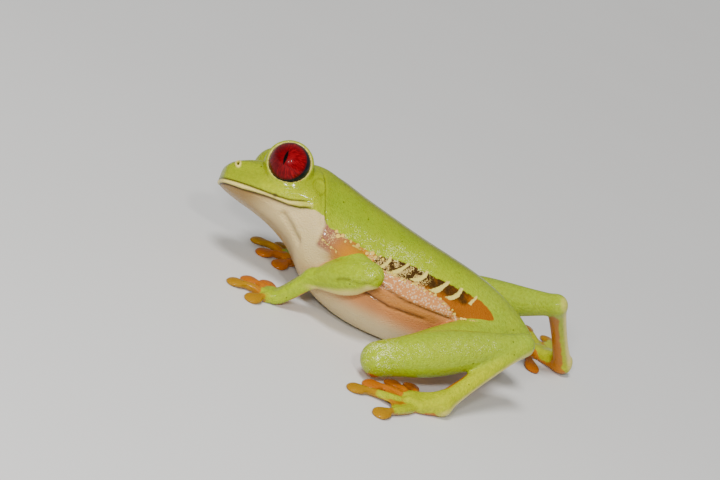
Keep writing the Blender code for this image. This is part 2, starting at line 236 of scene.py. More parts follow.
def smooth_row(rows, at):
    """The row at a fractional place, on a smooth curve through all the rows."""
    last = len(rows) - 1
    i = min(int(at), last - 1)
    t = at - i
    before, start, end, after = (rows[min(max(k, 0), last)] for k in (i - 1, i, i + 1, i + 2))
    slope_in, slope_out = (end - before) / 2, (after - start) / 2
    bend = 3 * (end - start) - 2 * slope_in - slope_out
    return start + t * (slope_in + t * (bend + t * (2 * (start - end) + slope_in + slope_out)))


def resampled(rows, count):
    rows = np.array(rows, float)
    return np.array([smooth_row(rows, at) for at in np.linspace(0, len(rows) - 1, count)])


def body_ring(section):
    """The outline of one cross-section on the straight frog, from shares of its width and height."""
    crown, keel, widest = section.crown, section.keel, section.widest
    right = [
        (0.0, 1.0),
        (0.55 * crown, 0.985),
        (crown, 0.90),
        (0.5 * (1 + crown), 0.5 * (0.90 + widest) + 0.06),
        (1.0, widest),
        (0.5 * (1 + keel), 0.5 * (0.12 + widest) - 0.06),
        (keel, 0.12),
        (0.55 * keel, 0.02),
        (0.0, 0.0),
    ]
    left = [(-across, height) for across, height in right[-2:0:-1]]
    outline = np.array(right + left) * (section.half_width, 1.0)
    corners = len(outline)
    wrapped = np.concatenate([outline[-1:], outline, outline[:2]])
    top, belly = (section.top_x, section.top_z), (section.belly_x, section.belly_z)
    ring = []
    for turn in np.linspace(0, corners, BODY_SIDES, endpoint=False):
        across, height = smooth_row(wrapped, turn + 1)
        x, z = (low + (high - low) * height for low, high in zip(belly, top))
        ring.append((x, across, z))
    return ring


def body_rings():
    sections = [Section(*row) for row in resampled(BODY, BODY_RINGS)]
    return np.array([posed(body_ring(section)) for section in sections])


def unit(vector):
    return vector / np.linalg.norm(vector)


def limb_rings(path, sides, squareness=1.0):
    """Rings round a path whose rows are x, y, z, half width and half height, with round ends."""
    path = np.array(path)
    ways = np.gradient(path[:, :3], axis=0)
    stations = [(path[0], ways[0], -tilt) for tilt in CAP_TILTS[::-1]]
    stations += [(row, way, 0.0) for row, way in zip(path, ways)]
    stations += [(path[-1], ways[-1], tilt) for tilt in CAP_TILTS]
    return np.array([ellipse(*station, sides, squareness) for station in stations])


def ellipse(row, way, tilt, sides, squareness):
    """A ring square to a way and level across, or one on a round end, further out by the sine of its tilt."""
    forward = unit(way)
    level = unit(np.cross(forward, UP))
    upright = np.cross(level, forward)
    turn = 2 * math.pi * (np.arange(sides) + 0.5) / sides
    across = np.sign(np.cos(turn)) * np.abs(np.cos(turn)) ** squareness
    height = np.sign(np.sin(turn)) * np.abs(np.sin(turn)) ** squareness
    wide, high = row[3] * math.cos(tilt), row[4] * math.cos(tilt) ** squareness
    centre = row[:3] + forward * row[3] * math.sin(tilt)
    return centre + np.outer(across * wide, level) + np.outer(height * high, upright)


def bezier(start, control, end, share):
    return start + (control - start) * 2 * share * (1 - share) + (end - start) * share * share


def taper(start, end, radii):
    """A path between two joints with the half widths given along it."""
    radii = resampled([[radius] for radius in radii], LIMB_RINGS)[:, 0]
    shares = np.linspace(0, 1, LIMB_RINGS)[:, None]
    places = np.array(start) + (np.array(end) - np.array(start)) * shares
    return np.column_stack([places, radii, radii])


def palm_path(joint, middle, joint_radius, radius):
    """A palm or sole: round at its joint, then wide and low."""
    joint, middle = np.array(joint), np.array(middle)
    heel = joint + (middle - joint) * PALM_HEEL
    heel[2] = middle[2]
    shares = np.linspace(0, 1, LIMB_RINGS)[:, None]
    halves = joint_radius + (np.array((radius, PALM_HALF_HEIGHT)) - joint_radius) * shares
    return np.hstack([bezier(joint, heel, middle, shares), halves])


class Digit(NamedTuple):
    """Where one finger or toe leaves its palm, which way it sets out and where it ends."""

    root: np.ndarray
    outward: np.ndarray
    tip: np.ndarray


def digits_of(side, middle, radius, root_angles, tips):
    centre = np.array((*middle[:2], 0.0))
    tips = [np.array((*tip, 0.0)) for tip in tips]
    forward = unit(sum(tips) / len(tips) - centre)
    made = []
    for angle, tip in zip(root_angles, tips):
        turn = np.array(Matrix.Rotation(side * math.radians(angle), 3, "Z"))
        outward = turn @ forward
        made.append(Digit(centre + outward * radius, outward, tip))
    return made


def fingers(side):
    return digits_of(side, PALM[side], PALM_RADIUS, FINGER_ROOTS, FINGER_TIPS[side])


def toes(side):
    return digits_of(side, SOLE[side], SOLE_RADIUS, TOE_ROOTS, TOE_TIPS[side])


def digit_path(digit):
    """A digit's path: out from inside the palm, bending towards its tip, with a wide low pad at the end."""
    length = np.linalg.norm(digit.tip - digit.root)
    knuckle = digit.root + digit.outward * KNUCKLE * length
    pad_middle = 1 - PAD_RADIUS / length
    pad_start = 1 - PAD_LENGTH / length
    outline = [  # the share along, half width and half height
        (0.0, 1.05 * DIGIT_RADIUS, DIGIT_RADIUS),
        (pad_start / 3, DIGIT_RADIUS, DIGIT_RADIUS),
        (2 * pad_start / 3, 0.9 * DIGIT_RADIUS, 0.95 * DIGIT_RADIUS),
        (pad_start, 0.82 * DIGIT_RADIUS, 0.85 * DIGIT_RADIUS),
        (0.5 * (pad_start + pad_middle), 0.85 * PAD_RADIUS, 0.95 * PAD_HALF_HEIGHT),
        (pad_middle, PAD_RADIUS, PAD_HALF_HEIGHT),
    ]
    share, half_width, half_height = resampled(outline, DIGIT_RINGS).T
    flat = bezier(digit.root, knuckle, digit.tip, share[:, None])[:, :2]
    arch = DIGIT_ARCH * np.sin(np.pi * np.linspace(0, 1, DIGIT_RINGS))
    return np.column_stack([flat, half_height - PAD_SINK + arch, half_width, half_height])


# ---- fields of signed distances


def field_of(rings):
    """Signed distances to a closed loft on the whole grid, in millimetres, no further out than the band."""
    count, sides = rings.shape[:2]
    points = np.concatenate([rings.reshape(-1, 3), rings[:1].mean(axis=1), rings[-1:].mean(axis=1)])
    index = np.arange(count * sides, dtype=np.uint32).reshape(count, sides)
    after = np.roll(index, -1, axis=1)
    quads = np.stack([index[:-1], after[:-1], after[1:], index[1:]], axis=-1).reshape(-1, 4)
    end = np.full(sides, count * sides, np.uint32)
    fans = [np.column_stack([end, after[0], index[0]]), np.column_stack([end + 1, index[-1], after[-1]])]
    grid = openvdb.FloatGrid.createLevelSetFromPolygons(
        points.astype(np.float32),
        triangles=np.concatenate(fans).astype(np.uint32),
        quads=quads,
        transform=openvdb.createLinearTransform(voxelSize=VOXEL),
        halfWidth=BAND / VOXEL,
    )
    values = np.empty(GRID_SHAPE, np.float32)
    grid.copyToArray(values, ijk=GRID_LOW)
    return values


def joined(one, other, blend):
    """The union of two fields, with a fillet whose size is a number or a field itself."""
    overlap = np.clip(blend - np.abs(one - other), 0.0, None)
    return np.minimum(one, other) - overlap * overlap / (4 * blend)


def cut(one, other, blend):
    """What is left of a field where another is taken away, with the edge rounded."""
    return -joined(-one, other, blend)


def grid_axes():
    """The grid's x, y and z places, shaped to combine into the whole grid."""
    axes = [np.arange(low, low + size, dtype=np.float32) * VOXEL for low, size in zip(GRID_LOW, GRID_SHAPE)]
    return axes[0][:, None, None], axes[1][None, :, None], axes[2][None, None, :]


def distance_to(place):
    return np.sqrt(sum((axis - at) ** 2 for axis, at in zip(grid_axes(), place)))


def height_over(place, way):
    return sum((axis - at) * along for axis, at, along in zip(grid_axes(), place, way))


def by_eye(side, offset=0.0):
    """A place by an eye's centre on the straight frog, with y outwards, moved to where the pose has it."""
    return posed(np.array((1.0, side, 1.0)) * (EYE_CENTRE + offset))[0]


def eye_frame(side):
    """An eye's centre and the way that its socket faces, on the posed frog."""
    centre = by_eye(side)
    return centre, unit(by_eye(side, EYE_AXIS) - centre)


def head_field(body):
    """The body with a dome of skin round each eye, open in front of it."""
    made = body
    for side in SIDES:
        centre, axis = eye_frame(side)
        dome = distance_to(centre - axis * LID_SET_BACK) - LID_RADIUS
        dome = cut(dome, -height_over(centre + axis * LID_EDGE, axis), LID_EDGE_FILLET)
        made = joined(made, dome, LID_FILLET)
    for side in SIDES:
        made = cut(made, distance_to(eye_frame(side)[0]) - (EYE_RADIUS - SOCKET_GRIP), SOCKET_FILLET)
    return made


def near(place, small, large, reach):
    """A fillet size that is large at a joint and small away from it."""
    share = fading(distance_to(place), 0.5 * reach, reach)
    return small + (large - small) * share.astype(np.float32)


def limb_field(bones, blends):
    """A chain of lofts, each blended to the ones before it."""
    made = field_of(limb_rings(bones[0], LIMB_SIDES))
    for bone, blend in zip(bones[1:], blends):
        made = joined(made, field_of(limb_rings(bone, LIMB_SIDES)), blend)
    return made


def web_rings(one, other, reach):
    """A thin sheet between two digits, cut back between them, as rings round it from root to edge."""
    rings = []
    for share in np.linspace(0, 1, WEB_RINGS):
        sheet = []
        for across in np.linspace(0, 1, WEB_RINGS):
            at = share * reach * (1 - WEB_BAY * math.sin(math.pi * across)) * (DIGIT_RINGS - 1)
            place = smooth_row(one, at) * (1 - across) + smooth_row(other, at) * across
            sheet.append((place[0], place[1], max(place[2], WEB_HALF_THICKNESS)))
        sheet = np.array(sheet)
        rings.append(np.concatenate([sheet + UP * WEB_HALF_THICKNESS, sheet[::-1] - UP * WEB_HALF_THICKNESS]))
    return np.array(rings)


def foot_field(path, digits, web_reach):
    made = field_of(limb_rings(path, LIMB_SIDES, FLATNESS))
    paths = [digit_path(digit) for digit in digits]
    for way in paths:
        made = joined(made, field_of(limb_rings(way, DIGIT_SIDES)), DIGIT_FILLET)
    for one, other in itertools.pairwise(paths):
        made = joined(made, field_of(web_rings(one, other, web_reach)), WEB_FILLET)
    return made


def arm_field(side):
    shoulder, elbow, wrist, palm = (joint[side] for joint in (SHOULDER, ELBOW, WRIST, PALM))
    made = limb_field([taper(shoulder, elbow, UPPER_ARM), taper(elbow, wrist, FOREARM)], [ELBOW_FILLET])
    hand = foot_field(palm_path(wrist, palm, FOREARM[-1], PALM_RADIUS), fingers(side), FINGER_WEB)
    return joined(made, hand, WRIST_FILLET)


def leg_field(side):
    hip, knee, heel, ankle, sole = (joint[side] for joint in (HIP, KNEE, HEEL, ANKLE, SOLE))
    bones = [taper(hip, knee, THIGH), taper(knee, heel, SHANK), taper(heel, ankle, TARSUS)]
    made = limb_field(bones, [near(knee, *KNEE_FILLET), HEEL_FILLET])
    foot = foot_field(palm_path(ankle, sole, TARSUS[-1], SOLE_RADIUS), toes(side), TOE_WEB)
    return joined(made, foot, WRIST_FILLET)


def frog_fields():
    """The field of the head and trunk alone, and the field of the whole frog."""
    body = head_field(field_of(body_rings()))
    made = body
    for side in SIDES:
        made = joined(made, arm_field(side), near(SHOULDER[side], *SHOULDER_FILLET))
    for side in SIDES:
        made = joined(made, leg_field(side), near(HIP[side], *HIP_FILLET))
    return body, cut(made, grid_axes()[2] + np.zeros_like(made), FLOOR_FILLET)


def sampled(values, points):
    """A field's values at places between the points of the grid."""
    at = points / VOXEL - np.array(GRID_LOW)
    low = np.clip(at.astype(int), 0, np.array(GRID_SHAPE) - 2)
    share = at - low
    total = np.zeros(len(points))
    for corner in itertools.product((0, 1), repeat=3):
        i, j, k = (low + corner).T
        total += np.prod(np.where(corner, share, 1 - share), axis=1) * values[i, j, k]
    return total


def slope(values, points):
    """Which way a field grows at some places, and how fast."""
    steps = np.eye(3) * VOXEL / 2
    rises = [sampled(values, points + step) - sampled(values, points - step) for step in steps]
    return np.column_stack(rises) / VOXEL


def settled(values, points):
    """Points moved along the field's slope until they lie on its surface."""
    for _ in range(2):
        way = slope(values, points)
        steepness = np.maximum((way**2).sum(axis=1), 0.1)
        points = points - way * (sampled(values, points) / steepness)[:, None]
    return points


# ---- lines on the straight, upright frog

# Lines on each side of the body: places along x, and the height of the line at each.
MOUTH_LINE = (
    (-24.5, -21.6, -19.7, -17.8, -14.8, -13.2, -11.0),
    (9.85, 9.9, 10.12, 10.3, 10.38, 10.7, 11.7),
)
LIP_LINE = (
    (-24.4, -23.0, -21.0, -18.5, -17.0, -15.0, -12.0),
    (10.55, 10.65, 10.75, 10.85, 10.9, 11.1, 12.15),
)
GREEN_EDGE = (
    (-24.5, -21.6, -19.7, -17.8, -14.8, -13.8, -12.3, -10.0, -8.5, -6.9, -5.2, -3.2, -0.9, 1.2)
    + (3.3, 6.0, 8.3, 10.5, 12.8, 15.3, 17.8, 19.3, 20.3, 20.9, 21.6, 25.0),
    (9.85, 9.9, 10.12, 10.3, 10.35, 10.4, 10.9, 12.1, 12.35, 11.7, 11.6, 11.25, 11.1, 11.2)
    + (11.7, 11.95, 12.0, 11.95, 12.0, 11.85, 11.6, 11.0, 10.4, 9.8, 9.0, 7.5),
)
BAND_DEPTH = (
    (0.0, 2.6, 6.0, 8.4, 11.3, 13.6, 15.7, 19.3, 22.0),
    (0.9, 2.0, 2.1, 2.0, 2.4, 3.0, 3.8, 4.0, 1.0),
)
SIDE_CREASES = (((3.3, 7.4, 11.3, 14.1), (7.7, 7.1, 7.3, 7.5)), ((0.8, 5.6, 10.4), (5.8, 5.3, 5.8)))
# Pale bars on the flank: each one's top along x, its foot's reach forward, length and half width.
BARS = (
    (2.8, 0.7, 1.9, 0.26),
    (5.5, 2.0, 2.4, 0.26),
    (8.5, 1.4, 2.1, 0.31),
    (11.9, 1.7, 2.3, 0.33),
    (14.2, 1.4, 2.3, 0.3),
    (16.5, 0.3, 1.5, 0.22),
)
BAR_RISE = 0.3  # above the edge of the green

# Paths on the skin, with y outwards.
NECK_FOLD = [
    (-13.3, 4.6, 17.6),
    (-11.9, 5.0, 17.4),
    (-11.2, 5.6, 16.4),
    (-10.5, 6.4, 15.3),
    (-9.9, 6.9, 14.5),
    (-9.1, 7.15, 13.5),
    (-8.4, 7.4, 12.6),
    (-7.8, 7.4, 12.0),
]
THROAT_CREASE = [(-14.6, 5.2, 8.9), (-13.2, 4.9, 8.1), (-12.0, 4.6, 7.4), (-10.9, 4.9, 7.0)]
SNOUT_RIDGE = [(-23.2, 2.5, 13.9), (-21.6, 3.5, 14.6), (-20.2, 4.1, 15.2)]
SNOUT_HOLLOW = [(-22.4, 3.6, 12.7), (-21.2, 4.6, 13.2), (-20.2, 5.2, 13.7)]
NOSTRIL = np.array((-23.4, 2.3, 13.45))
NOSTRIL_WAY = np.array((0.1, 0.85, -0.52))  # along the slit
NOSTRIL_HALF_WIDTH, NOSTRIL_HALF_LENGTH = 0.17, 0.42
EARDRUM = (-11.75, 14.8)
EARDRUM_RADIUS = 0.95
LIP_FLECK = (-17.1, 10.95)
# Wrinkles by each elbow, as offsets from it with y outwards, and how deep each is.
ELBOW_WRINKLES = (
    ([(-4.0, 1.15, -2.2), (-3.4, 1.4, -1.7), (-2.6, 1.65, -1.35)], 1.0),
    ([(-2.2, 1.7, -1.3), (-1.5, 1.76, -1.2), (-1.0, 1.73, -1.1), (0.1, 1.73, -0.45), (0.8, 1.6, 0.5)], 0.5),
)


def path_distance(points, path):
    """How far points lie from a smooth path, and how far along it each is, from 0 to 1."""
    rows = resampled(path, PATH_STEPS)
    nearest = np.full(len(points), np.inf)
    along = np.zeros(len(points))
    for number, (start, end) in enumerate(itertools.pairwise(rows)):
        way = end - start
        share = np.clip(((points - start) @ way) / (way @ way), 0, 1)
        distance = np.linalg.norm(points - start - share[:, None] * way, axis=1)
        closer = distance < nearest
        nearest[closer] = distance[closer]
        along[closer] = (number + share[closer]) / (len(rows) - 1)
    return nearest, along


def profile(value, rows):
    """Smooth humps and hollows, each with its place, how far it rises and its width."""
    return sum(rise * bump(value - place, width) for place, rise, width in rows)


def between(value, low, high, fade):
    """1 between two places, 0 outside them, with a soft change at each."""
    return smoothstep(value, low - fade, low) * fading(value, high, high + fade)


class Places(NamedTuple):
    """Where the skin's points are: as posed, on the straight frog with y outwards, and by the eyes.

    body is 1 on the head and trunk and 0 on the limbs.
    """

    posed: np.ndarray
    x: np.ndarray
    y: np.ndarray
    z: np.ndarray
    off_eye: np.ndarray
    over_eye: np.ndarray
    body: np.ndarray

    @property
    def outward(self):
        return np.column_stack([self.x, self.y, self.z])

    def above(self, line):
        return self.z - np.interp(self.x, *line)

    def off(self, path, forward=0.0):
        """Distances from a path on the skin, moved forward by some millimetres."""
        return path_distance(self.outward + (forward, 0.0, 0.0), path)[0]


def places_of(points, off_body):
    straight = straightened(points)
    eyes = [eye_frame(side) for side in SIDES]
    off = np.array([np.linalg.norm(points - centre, axis=1) - EYE_RADIUS for centre, _ in eyes])
    over = np.array([(points - centre) @ axis for centre, axis in eyes])
    nearer = off.argmin(axis=0)
    rows = np.arange(len(points))
    body = fading(off_body, *BODY_FADE)
    x, y, z = straight.T
    return Places(points, x, np.abs(y), z, off[nearer, rows], over[nearer, rows], body)


def nostril_shape(at):
    """0 at the middle of a nostril, 1 at its edge."""
    offset = at.outward - NOSTRIL
    along = offset @ unit(NOSTRIL_WAY)
    across = np.sqrt(np.maximum((offset**2).sum(axis=1) - along**2, 0))
    return np.hypot(across / NOSTRIL_HALF_WIDTH, along / NOSTRIL_HALF_LENGTH)


def eardrum_shape(at):
    """0 at the middle of an eardrum, 1 at its edge."""
    return np.hypot(at.x - EARDRUM[0], at.z - EARDRUM[1]) / EARDRUM_RADIUS + FAR * (at.y < 4)


# Profiles across the mouth, a crease on the side and a nostril: each hump's place, rise and width.
MOUTH_PROFILE = ((0.0, -0.26, 0.16), (0.42, 0.12, 0.34))
CREASE_PROFILE = ((0.5, 0.1, 0.45), (0.0, -0.3, 0.2))
NOSTRIL_PROFILE = ((1.8, 0.13, 0.6), (0.0, -0.55, 1.0))
# Folds along a path, each with its rise and width.
FOLDS = ((THROAT_CREASE, -0.42, 0.65), (SNOUT_RIDGE, 0.22, 0.6), (SNOUT_HOLLOW, -0.16, 0.9))
FOLD_RIM = 0.5  # how far in front of the fold's line its rim is
GRANULE_RISE, WRINKLE_DEPTH = 0.12, 0.14


def mouth_relief(at):
    """The mouth's groove, the upper lip that hangs over it, and the lower jaw set back below it."""
    above = at.above(MOUTH_LINE)
    jaw = -0.24 * smoothstep(-above, 0.0, 0.35) * fading(-above, 0.6, 2.6)
    lip_edge = -0.07 * bump(at.above(LIP_LINE), 0.13)
    mouth = (profile(above, MOUTH_PROFILE) + jaw) * fading(at.x, -12.6, -10.9)
    return mouth + lip_edge * fading(at.x, -13.5, -11.3)


def fold_relief(at):
    fold, along = path_distance(at.outward, NECK_FOLD)
    neck = 0.26 * bump(at.off(NECK_FOLD, FOLD_RIM), 0.42) - 0.36 * bump(fold, 0.25)
    others = sum(rise * bump(at.off(path), width) for path, rise, width in FOLDS)
    return smoothstep(along, 0.0, 0.15) * neck + others


def on_crease(at, line, fade):
    return between(at.x, line[0][0], line[0][-1], fade)


def side_relief(at):
    """The long creases low on the sides."""
    return sum(on_crease(at, line, 1.5) * profile(at.above(line), CREASE_PROFILE) for line in SIDE_CREASES)


def face_relief(at):
    eardrum = eardrum_shape(at)
    drum = 0.08 * bump(eardrum - 1, 0.22) - 0.08 * fading(eardrum, 0.7, 0.95)
    rim = 0.07 * bump(at.off_eye - 0.24, 0.2) * smoothstep(at.over_eye, LID_EDGE - 0.6, LID_EDGE - 0.2)
    under_eye = -0.1 * bump(at.off_eye - 1.0, 0.3) * (at.z < EYE_CENTRE[2])
    return profile(nostril_shape(at), NOSTRIL_PROFILE) + drum + rim + under_eye


def elbow_wrinkles(points):
    """How deep the wrinkles by the elbows are, from 0 to 1."""
    made = np.zeros(len(points))
    for side in SIDES:
        offset = (points - ELBOW[side]) * (1, side, 1)
        for path, depth in ELBOW_WRINKLES:
            made = np.maximum(made, depth * bump(path_distance(offset, path)[0], 0.26))
    return made


def relief(at):
    """How far the skin rises over its plain shape, in millimetres."""
    beads = GRANULE_RISE * smoothstep(granules(at), -0.05, 0.12)
    on_body = mouth_relief(at) + fold_relief(at) + side_relief(at) + face_relief(at) + beads
    return at.body * on_body - WRINKLE_DEPTH * elbow_wrinkles(at.posed)


# ---- where the colours lie


DEPTH, SATURATION = 0.68, 1.3  # against the haze of the picture's view transform


def tint(red, green, blue):
    """A screen's colour, from 0 to 255, deepened and in the shaders' numbers."""
    screen = np.array((red, green, blue)) / 255
    linear = ((screen + 0.055) / 1.055) ** 2.4
    grey = linear.mean()
    return np.maximum(DEPTH * (grey + (linear - grey) * SATURATION), 0.002)


SNOUT_GREEN, BACK_GREEN, RIDGE_GREEN = tint(166, 180, 8), tint(150, 176, 12), tint(140, 138, 8)
SIDE_GREEN, CHEEK_GREEN, RUMP_GREEN = tint(180, 200, 74), tint(202, 212, 92), tint(176, 200, 92)
LIMB_GREEN, KNEE_GREEN, FOOT_GREEN = tint(178, 202, 64), tint(180, 204, 62), tint(208, 214, 92)
# The brown of the chin is painted shade under the jaw.
THROAT_CREAM, CHIN_SHADE_BROWN, BELLY_CREAM = tint(252, 228, 180), tint(178, 146, 100), tint(240, 222, 182)
SIDE_PINK, LOW_PINK, ARMPIT_MAUVE = tint(226, 162, 118), tint(200, 142, 96), tint(166, 118, 100)
ARM_ORANGE, THIGH_ORANGE, TOE_ORANGE = tint(214, 148, 0), tint(200, 132, 20), tint(200, 130, 26)
INNER_PINK, TIP_BROWN, TOE_AMBER = tint(186, 128, 74), tint(182, 138, 58), tint(194, 120, 26)


def mixed(one, other, share):
    return one + (other - one) * np.asarray(share)[..., None]


def body_upper(at):
    above = at.above(GREEN_EDGE)
    made = mixed(SIDE_GREEN, BACK_GREEN, smoothstep(above, 0.0, 3.5))
    made = mixed(made, RIDGE_GREEN, 0.7 * fading(at.y, 1.0, 4.5))
    made = mixed(made, RUMP_GREEN, smoothstep(at.x, 12.0, 20.0))
    head = mixed(CHEEK_GREEN, SNOUT_GREEN, smoothstep(at.z, 11.5, 14.0))
    head = mixed(head, SNOUT_GREEN, fading(at.x, -21.0, -18.0))
    return mixed(head, made, smoothstep(at.x, -12.0, -8.0))


def body_under(at):
    below = -at.above(GREEN_EDGE)
    # Painted shade: the throat browner towards the chin's tip and the middle of the underside, cream where
    # the light falls.
    lit = smoothstep(at.x + 0.8 * below, -21.0, -14.5) * (0.35 + 0.65 * smoothstep(at.y, 1.0, 4.2))
    throat = mixed(CHIN_SHADE_BROWN, THROAT_CREAM, lit)
    belly = mixed(SIDE_PINK, LOW_PINK, bump(at.z - 6.4, 1.1) * between(at.x, 0.0, 12.0, 2.0))
    belly = mixed(belly, BELLY_CREAM, fading(at.z, 1.5, 4.5))
    made = mixed(throat, belly, smoothstep(at.x, -6.0, 0.0))
    made = mixed(made, ARM_ORANGE, between(at.x, -3.4, 1.6, 0.8) * between(at.z, 7.6, 13.0, 1.0))
    return mixed(made, ARMPIT_MAUVE, between(at.x, -7.4, -4.0, 0.7) * between(at.z, 9.0, 13.0, 0.8))


def body_marks(at):
    """Millimetres inside the green, inside a pale bar and inside the dark band on the flank."""
    green = at.above(GREEN_EDGE)
    down = -green
    bars = np.full(len(down), -FAR)
    for top, foot, length, half_width in BARS:
        share = np.clip((down + BAR_RISE) / length, 0, 1)
        slope_across = 2 * foot * share / length
        across = at.x - top + foot * share**2 + 0.1 * np.sin(5 * share + top)
        off = np.abs(across) / np.hypot(1, slope_across)
        ends = np.minimum(down + BAR_RISE, length - BAR_RISE - down)
        bars = np.maximum(bars, np.minimum(half_width * (0.8 + 0.4 * share) - off, ends))
    depth = np.interp(at.x, *BAND_DEPTH)
    band = np.minimum(np.minimum(down + 0.3, depth - down), np.minimum(at.x - 0.8, 22.5 - at.x))
    return np.column_stack([green, bars, band])


class Bone(NamedTuple):
    """A piece of a limb as its colours see it: green on its outward side and as far along as it says."""

    path: list
    radii: tuple
    outward: tuple
    reach: float
    upper: tuple
    under: tuple
    pale: tuple = (0.0, 0.0, 0.0)
    green_to: float = FAR


def arm_bones(side):
    shoulder, elbow, wrist, palm = (joint[side] for joint in (SHOULDER, ELBOW, WRIST, PALM))
    greens, oranges = (LIMB_GREEN, LIMB_GREEN), (ARM_ORANGE, ARM_ORANGE)
    armpit, pale = (ARMPIT_MAUVE, ARM_ORANGE), (0.3, side * 0.35, -0.88)
    made = [
        Bone([shoulder, elbow], (1.9, 1.7, 1.2, 0.2), (0, 0, 1), -2.2, greens, armpit),
        Bone([elbow, wrist], FOREARM, (0.1, side * 0.75, 0.65), 1.4, greens, oranges, pale),
        Bone([wrist, palm], (FOREARM[-1], PALM_RADIUS), (0, side * 0.5, 0.85), 0.1, greens, oranges),
    ]
    return made + digit_bones(fingers(side), FINGER_GREENS)


LEG_OUTWARD = {
    LEFT: ((0.0, -0.5, 0.86), (0.1, -0.75, 0.65), (0.6, -0.7, -0.1)),
    RIGHT: ((0.0, 0.4, 0.9), (0.0, 0.5, 0.86), (0.7, 0.6, 0.4)),
}
TARSUS_PALE = {LEFT: (0.7, -0.35, -0.62), RIGHT: (0.75, -0.3, 0.58)}


def leg_bones(side):
    hip, knee, heel, ankle, sole = (joint[side] for joint in (HIP, KNEE, HEEL, ANKLE, SOLE))
    thigh, shank, tarsus = LEG_OUTWARD[side]
    pale, sole_radii = TARSUS_PALE[side], (TARSUS[-1], SOLE_RADIUS)
    oranges, pinks = (THIGH_ORANGE, THIGH_ORANGE), (INNER_PINK, THIGH_ORANGE)
    made = [
        Bone([hip, knee], THIGH, thigh, 0.3, (RUMP_GREEN, LIMB_GREEN), oranges),
        Bone([knee, heel], SHANK, shank, 2.3, (KNEE_GREEN, RUMP_GREEN), pinks[::-1]),
        Bone([heel, ankle], TARSUS, tarsus, 0.5, (RUMP_GREEN, FOOT_GREEN), pinks, pale),
        Bone([ankle, sole], sole_radii, (0, 0, 1), 0.6, (FOOT_GREEN, FOOT_GREEN), oranges),
    ]
    return made + digit_bones(toes(side), TOE_GREENS)


def digit_bones(digits, greens):
    made = []
    upper, radii = (FOOT_GREEN, FOOT_GREEN), (DIGIT_RADIUS, PAD_RADIUS)
    for digit, green_to in zip(digits, greens):
        path = digit_path(digit)[::6, :3].tolist()
        under = (TOE_ORANGE, TIP_BROWN if green_to > 0 else TOE_AMBER)
        made.append(Bone(path, radii, (0, 0, 1), 0.2, upper, under, green_to=green_to))
    return made


PALE_FROM, PALE_TO = 0.6, 0.98  # how far round a limb towards its pale side
DIGIT_EDGE = 0.4  # how sharp the green's edge on a digit is beside those elsewhere
COLOUR_BLEND = 0.25  # how far colours blend between bones


def bone_colours(points, bone):
    """Distance from a bone's skin, and its upper and under colours, green edge and paleness there."""
    distance, along = path_distance(points, bone.path)
    radius = np.interp(along, np.linspace(0, 1, len(bone.radii)), bone.radii)
    rows = resampled(bone.path, PATH_STEPS)
    axis = np.column_stack([np.interp(along, np.linspace(0, 1, PATH_STEPS), row) for row in rows.T])
    offset = points - axis
    length = np.linalg.norm(np.diff(rows, axis=0), axis=1).sum()
    edge = np.minimum(offset @ unit(np.array(bone.outward)) + bone.reach, (bone.green_to - along) * length)
    if bone.green_to < FAR:
        edge = DIGIT_EDGE * np.minimum(edge, radius + 0.25 - distance)
    pale = smoothstep((offset @ np.array(bone.pale)) / radius, PALE_FROM, PALE_TO)
    upper, under = (mixed(*ends, smoothstep(along, 0.0, 0.6)) for ends in (bone.upper, bone.under))
    return distance - radius, np.column_stack([upper, under, edge, pale])


def limb_colours(points, off_body, body_values):
    """Every point's colour values, each point taking those of what it is nearest to, with soft changes."""
    made = [(off_body, body_values)]
    for side in SIDES:
        made += [bone_colours(points, bone) for bone in arm_bones(side) + leg_bones(side)]
    nearest = np.min([distance for distance, _ in made], axis=0)
    total, values = 0.0, 0.0
    for distance, own_values in made:
        weight = np.exp((nearest - distance) / COLOUR_BLEND)
        total += weight
        values += own_values * weight[:, None]
    return values / total[:, None]


def body_lines_and_shade(at):
    """How dark the lip's line and fleck and the ring round each eardrum are, with painted shade in the mouth,
    the neck folds, the throat and side creases, the nostrils and the wrinkles by the elbows.
    """
    mouth = bump(at.above(MOUTH_LINE) + 0.06, 0.17) * fading(at.x, -12.4, -10.9)
    above_lip = at.above(LIP_LINE)
    lip = bump(above_lip, 0.14) * fading(at.x, -13.4, -11.6)
    lip += bump(np.hypot(at.x - LIP_FLECK[0], at.z - LIP_FLECK[1]), 0.24)
    neck = bump(at.off(NECK_FOLD), 0.19)
    throat = 0.3 * bump(at.off(THROAT_CREASE), 0.45)
    sides = sum(0.85 * on_crease(at, line, 1.0) * bump(at.above(line), 0.17) for line in SIDE_CREASES)
    nostril = fading(nostril_shape(at), 0.7, 1.35)
    drum = 0.25 * bump(eardrum_shape(at) - 1.18, 0.16)
    on_body = mouth + lip + neck + throat + sides + nostril + drum
    return np.clip(at.body * on_body + 0.75 * elbow_wrinkles(at.posed), 0, 1)


def body_pale(at):
    """How cream the lips, the rims of the nostrils and the edges of the lids are."""
    stripe = smoothstep(at.above(MOUTH_LINE), 0.08, 0.16)
    stripe *= fading(at.above(LIP_LINE), -0.14, -0.05)
    stripe *= 1 - 0.75 * smoothstep(at.x, -15.5, -12.5)
    nostril = bump(nostril_shape(at) - 1.95, 0.7)
    lid = fading(at.off_eye, 0.03, 0.21)
    lid *= smoothstep(at.over_eye, LID_EDGE - 0.75, LID_EDGE - 0.45)
    return np.clip(at.body * (stripe * (at.x < -11.5) + nostril + lid), 0, 1)


EDGE_GRANULES, ARMPIT_GRANULES, BAND_GRANULES = 14, 10, 38


